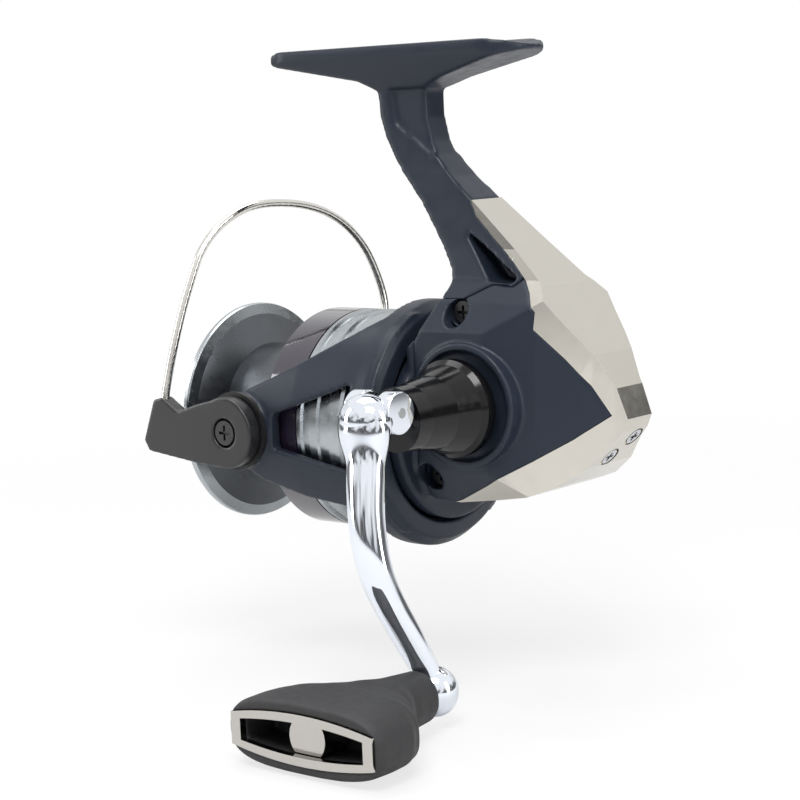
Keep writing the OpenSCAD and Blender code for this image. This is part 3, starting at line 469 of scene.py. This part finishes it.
# Outward direction of the guard's lower rear face, where the screws sit
guard_slope = math.radians(131)
guard_out = Vector((-math.sin(guard_slope), 0, math.cos(guard_slope)))
# Screw places, mm, with z from the spool axis
guard_screw_places = ((-50.1, 1.9, -4.1), (-53.4, -1.9, -0.4))
# The counterbores' size, and how far out of its place each cutter's middle lies, mm
bore_radius, bore_length, bore_shift = 2.3 * MM, 4.4 * MM, 1.4
# How far the screws' heads go in, mm, and the length of tip that stays where the CAD has it
head_sink, tip_kept = 1.5, MM


def guard_screw_holes():
    """Cutters for the counterbores of the two guard screws."""
    cutters = []
    turn = guard_out.to_track_quat("Z", "Y").to_matrix()
    for x, y, z in guard_screw_places:
        centre = Vector((x * MM, y * MM, axis_z + z * MM)) + guard_out * bore_shift * MM
        made = bmesh.new()
        bmesh.ops.create_cone(made, cap_ends=True, segments=40, radius1=bore_radius,
                              radius2=bore_radius, depth=bore_length)
        bmesh.ops.rotate(made, matrix=turn, verts=made.verts)
        bmesh.ops.translate(made, vec=centre, verts=made.verts)
        cutters.append(solid_from(made, "hole"))
    return cutters


def sunk_screws():
    """The guard's screws with their heads set into the counterbores; the tips stay where they are."""
    mesh = nodes["guard_screws"].data.copy()
    tip = min(vertex.co.dot(guard_out) for vertex in mesh.vertices)
    for vertex in mesh.vertices:
        if vertex.co.dot(guard_out) > tip + tip_kept:
            vertex.co -= guard_out * head_sink * MM
    finished(solid("sunk_screws", mesh), "guard_screws")


# ---------------------------------------------------------------- the knob's grip

# Share of the full half length and half height, by distance from the grip's inner end in mm
grip_flare = [(0.28, 0), (0.29, 3), (0.34, 8), (0.5, 13), (0.74, 17.2), (0.92, 20.8), (0.99, 24),
              (1, 28), (1, 31.4), (0.965, 33.4)]
grip_rise = [(0.75, 0), (0.78, 6), (0.87, 14), (0.97, 22), (1, 27), (0.985, 31.4), (0.93, 33.4)]
# The section goes from round to squarish over this length, mm: powers of a superellipse
round_power, square_gain, square_after = 2, 1.1, 20
# Lens-shaped cuts in the face, mm: what the length loses, height, blunt end and depth
grip_cuts = ((2.5, 9.4, 6, 1.2), (7, 7.2, 4.2, 9))
# How far the cutters reach outside the face, mm
cut_over = 3


def lens_outline(centre, length, height, end, steps=24):
    """Slim lens with blunt ends, x and z in mm."""
    half = [(length * (k / steps - 0.5), end / 2 + (height - end) / 2 * (1 - (2 * k / steps - 1) ** 2))
            for k in range(steps + 1)]
    upper = [(centre[0] + x, centre[1] + z) for x, z in half]
    lower = [(centre[0] + x, centre[1] - z) for x, z in half[::-1]]
    return upper + lower


def superellipse(angle, power):
    """A point at an angle on a superellipse of radius 1."""
    c, d = math.cos(angle), math.sin(angle)
    return math.copysign(abs(c) ** (2 / power), c), math.copysign(abs(d) ** (2 / power), d)


def grip():
    """T-shaped rubber knob: a round neck that flares into a lens-shaped paddle, hollow at its face."""
    low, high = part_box("knob_grip")
    centre = ((low.x + high.x) / 2, (low.z + high.z) / 2)
    half_length, half_height, face = (high.x - low.x) / 2, (high.z - low.z) / 2, high.y
    depth = (face - low.y) / MM
    made = bmesh.new()
    rings = []
    stations, sides = 60, 72
    for i in range(stations + 1):
        y = depth * i / stations
        across, up = half_length * size_at(grip_flare, y), half_height * size_at(grip_rise, y)
        power = round_power + square_gain * min(y / square_after, 1)
        ring = []
        for k in range(sides):
            x, z = superellipse(2 * math.pi * k / sides, power)
            ring.append(made.verts.new((centre[0] + across * x, low.y + y * MM, centre[1] + up * z)))
        rings.append(ring)
    skin(made, rings)
    bmesh.ops.recalc_face_normals(made, faces=made.faces)
    obj = solid_from(made, "grip")
    middle = (centre[0] / MM, centre[1] / MM)
    length, outer = 2 * half_length / MM, face / MM
    cuts = [prism(lens_outline(middle, length - loss, height, end), outer - deep, outer + cut_over)
            for loss, height, end, deep in grip_cuts]
    add_cuts(obj, cuts)
    add_remesh(obj, 0.3 * MM, 8)
    baked(obj, cuts)
    obj.data.shade_smooth()
    finished(obj, "knob_grip")


# ---------------------------------------------------------------- making the pieces

# The stem's sides are hollowed behind a strip along its front edge, above a raised rib: x and z, mm
stem_hollow = [(0.5, -9.2), (0.1, -11.5), (-0.6, -16.4), (-3.2, -18.6), (-5, -19.2), (-9.4, -22.8),
               (-14, -23.4), (-14, -9.2)]
# The web left between the hollows goes this far each side of y = 0, and the cutters end outside
web_half, cutter_end = 3.4, 9
stem_cuts = [prism(stem_hollow, web_half, cutter_end), prism(stem_hollow, -cutter_end, -web_half)]

# CAD nodes kept as they are, with their edges eased
eased_nodes = ("lip_ring", "skirt_rings", "spool", "handle_collar", "knob_bezel", "post_cap", "drag_knob",
               "cover_screws", "pivot_screws", "wire_cap")

moulded("body", "body_frame", 0.4 * MM, stem_cuts, rounds=12, keep=0.6)
moulded("cover", "side_cover", 0.35 * MM, rounds=6, keep=0.6)
moulded("rotor_shell", "rotor", 0.4 * MM)
grip()
bevelled("guard", "rear_guard", guard_screw_holes())
bevelled("far_cap", "handle_cap", grow=1.16)
sunk_screws()
wire()
crank()
for name in eased_nodes:
    add_bevel(nodes[name], 0.12 * MM, 2, 32)
moulded("lever", "bail_lever", 0.3 * MM)
moulded("far_arm", "bail_arm", 0.3 * MM)


# ---------------------------------------------------------------- studio

# Name, place, size in metres and power in watts; all face the middle of the spool axis
lamps = (("key", (-0.35, 0.55, 0.75), (0.5, 0.4), 7),
         ("top", (0.2, -0.1, 0.8), (0.7, 0.5), 4),
         ("front", (0.8, 0.5, 0.1), (0.22, 0.8), 3),
         ("rear", (-0.9, -0.1, 0.15), (0.3, 0.8), 3))
# Strength of the world's light on what isn't glossy
ambient = 0.22
# Greys that metal reflects, by height in the world, and the noise that breaks up their edges
sky_low, sky_high = (0.25, 0.62), (1.0, 1)
sky_between = ((0.5, 0.16), (0.62, 0.10), (0.8, 0.75))
patch_scale, patch_lift = 3.2, 1.1


def look(obj, at, aim):
    """Puts a lamp or camera at a place, facing another."""
    obj.location = at
    obj.rotation_mode = "QUATERNION"
    obj.rotation_quaternion = (Vector(aim) - Vector(at)).to_track_quat("-Z", "Y")
    bpy.context.scene.collection.objects.link(obj)


def grey(level):
    return (level, level, level, 1)


def studio():
    """Soft lamps and a world that is white to the camera and patchy to reflections."""
    for name, at, size, power in lamps:
        data = bpy.data.lights.new(name, "AREA")
        data.shape = "RECTANGLE"
        data.size, data.size_y = size
        data.energy = power
        look(bpy.data.objects.new(name, data), at, (0, 0, axis_z))
    world = bpy.data.worlds.new("studio")
    world.use_nodes = True
    bpy.context.scene.world = world
    tree = world.node_tree
    background = tree.nodes["Background"]
    ray = add_node(tree, "ShaderNodeLightPath").outputs
    seen = add_node(tree, "ShaderNodeMath", {
        0: ray["Is Camera Ray"], 1: ray["Is Transmission Ray"]}, operation="MAXIMUM").outputs[0]
    shiny = add_node(tree, "ShaderNodeMath", {0: seen, 1: ray["Is Glossy Ray"]}, operation="MAXIMUM")
    level = add_node(tree, "ShaderNodeMapRange", {
        "To Min": ambient, "To Max": 1.0, "Value": shiny.outputs[0]})
    tree.links.new(level.outputs["Result"], background.inputs["Strength"])
    place = add_node(tree, "ShaderNodeTexCoord").outputs["Generated"]
    split = add_node(tree, "ShaderNodeSeparateXYZ", {"Vector": place})
    patches = add_node(tree, "ShaderNodeTexNoise", {"Scale": patch_scale, "Detail": 1, "Vector": place})
    lift = add_node(tree, "ShaderNodeMath", {
        0: patches.outputs["Fac"], 1: patch_lift, 2: split.outputs["Z"]}, operation="MULTIPLY_ADD")
    ramp = add_node(tree, "ShaderNodeValToRGB", {"Fac": lift.outputs[0]})
    stops = ramp.color_ramp.elements
    for stop, (position, shade) in zip(stops, (sky_low, sky_high)):
        stop.position = position
        stop.color = grey(shade)
    for position, shade in sky_between:
        stops.new(position).color = grey(shade)
    tone = add_node(tree, "ShaderNodeMix", {
        "Factor": seen, "A": ramp.outputs["Color"], "B": grey(1)}, data_type="RGBA")
    tree.links.new(tone.outputs["Result"], background.inputs["Color"])


# The floor: gap under the reel, half size, and where it starts and ends its fade to white
floor_gap, floor_half = 0.4 * MM, 4
fade_start, fade_end, fade_least = 0.14, 0.45, 0.75


def floor():
    """A pale floor under the reel that keeps its shadow and fades to white away from it."""
    low = cad_box[0].z - floor_gap
    mesh = bpy.data.meshes.new("floor")
    half = floor_half
    mesh.from_pydata([(-half, -half, low), (half, -half, low), (half, half, low), (-half, half, low)],
                     [], [(0, 1, 2, 3)])
    obj = solid("floor", mesh)
    made = bpy.data.materials.new("floor")
    made.use_nodes = True
    tree = made.node_tree
    base = tree.nodes["Principled BSDF"]
    base.inputs["Base Color"].default_value = grey(0.9)
    base.inputs["Roughness"].default_value = 0.9
    base.inputs["Specular IOR Level"].default_value = 0
    glow = add_node(tree, "ShaderNodeEmission")
    ray = add_node(tree, "ShaderNodeLightPath").outputs
    place = add_node(tree, "ShaderNodeTexCoord").outputs["Object"]
    length = add_node(tree, "ShaderNodeVectorMath", {0: place}, operation="LENGTH")
    fade = add_node(tree, "ShaderNodeMapRange", {
        "From Min": fade_start, "From Max": fade_end, "To Min": fade_least,
        "Value": length.outputs["Value"]}, interpolation_type="SMOOTHSTEP")
    seen = add_node(tree, "ShaderNodeMath", {
        0: ray["Is Camera Ray"], 1: fade.outputs["Result"]}, operation="MULTIPLY")
    mix = add_node(tree, "ShaderNodeMixShader", {
        "Fac": seen.outputs[0], 1: base.outputs["BSDF"], 2: glow.outputs["Emission"]})
    tree.links.new(mix.outputs["Shader"], tree.nodes["Material Output"].inputs["Surface"])
    obj.data.materials.append(made)


# The camera, fitted to the reel's outline in the photograph
camera_at, camera_aim = (-0.28175, 0.3468, -0.01575), (0.00442, 0, -0.07487)
camera_lens, camera_sensor, camera_roll = 95.54, 36, -2.365


def camera():
    """Long lens from behind the handle, slightly above, with a small roll."""
    data = bpy.data.cameras.new("camera")
    data.lens = camera_lens
    data.sensor_width = camera_sensor
    data.clip_start, data.clip_end = 0.01, 50
    obj = bpy.data.objects.new("camera", data)
    look(obj, camera_at, camera_aim)
    obj.rotation_quaternion = obj.rotation_quaternion @ Quaternion((0, 0, 1), math.radians(camera_roll))
    bpy.context.scene.camera = obj


studio()
floor()
camera()
bpy.context.scene.view_settings.view_transform = "Standard"
